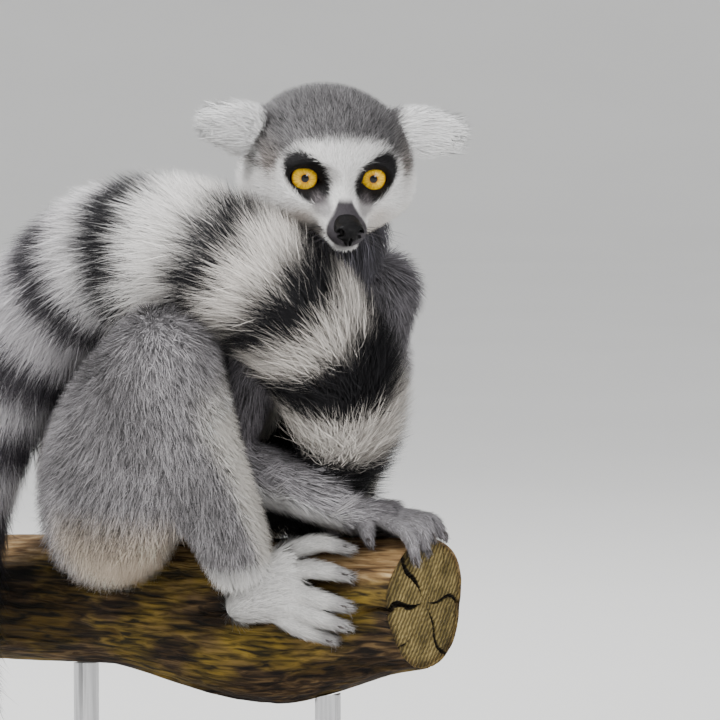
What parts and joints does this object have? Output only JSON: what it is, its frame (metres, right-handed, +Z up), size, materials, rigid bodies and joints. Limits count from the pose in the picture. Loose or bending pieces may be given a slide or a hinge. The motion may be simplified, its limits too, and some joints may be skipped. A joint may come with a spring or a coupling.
{
  "type": "ring-tailed lemur model",
  "caption": "Life-size ring-tailed lemur crouched on a cut branch, its banded tail brought up its chest and over the shoulder, held by a plain display stand.",
  "frame": {"origin": "centre of the stand's oval underside, on the floor plane", "axes": "+Z up; the branch runs along +X to its sawn end and the lemur faces that end; the lemur's right side is towards -Y"},
  "size_m": [0.2768, 0.2084, 0.3845],
  "materials": {
    "coat_crown": "dense grey ticked fur",
    "coat_muzzle": "short dark grey fur over bare dark skin",
    "coat_white": "soft white fur",
    "coat_back": "brown-grey ticked fur",
    "coat_limb": "dark grey ticked fur, paler under the forearm",
    "coat_leg": "grey ticked fur, cream on the haunch and the front of the shin",
    "coat_hand": "short pale fur with dark pads and claws",
    "coat_tail_white": "long white and grey-white fur",
    "coat_tail_black": "long black fur",
    "eye": "glossy amber iris with a black pupil",
    "nose_leather": "damp black leathery skin",
    "wood_branch": "weathered bark, tan sawn end with cracks",
    "wood_plinth": "dark stained and waxed",
    "steel_rod": "satin steel"
  },
  "bodies": {
    "root": {"head": "coat_crown", "muzzle": "coat_muzzle", "neck": "coat_white", "trunk": "coat_back", "ear_right": "coat_white", "ear_left": "coat_white", "upper_arm_right": "coat_limb", "upper_arm_left": "coat_limb", "forearm_right": "coat_limb", "forearm_left": "coat_limb", "hand_right": "coat_hand", "hand_left": "coat_hand", "thigh_right": "coat_leg", "thigh_left": "coat_leg", "shank_right": "coat_leg", "shank_left": "coat_leg", "foot_right": "coat_hand", "foot_left": "coat_hand", "eye_right": "eye", "eye_left": "eye", "nose": "nose_leather", "branch": "wood_branch", "stand_plinth": "wood_plinth", "stand_rod_front": "steel_rod", "stand_rod_rear": "steel_rod", "tail_1": "coat_tail_black", "tail_2": "coat_tail_white", "tail_3": "coat_tail_black", "tail_4": "coat_tail_white", "tail_5": "coat_tail_black", "tail_6": "coat_tail_white", "tail_7": "coat_tail_black", "tail_8": "coat_tail_white"}
  },
  "joints": []
}
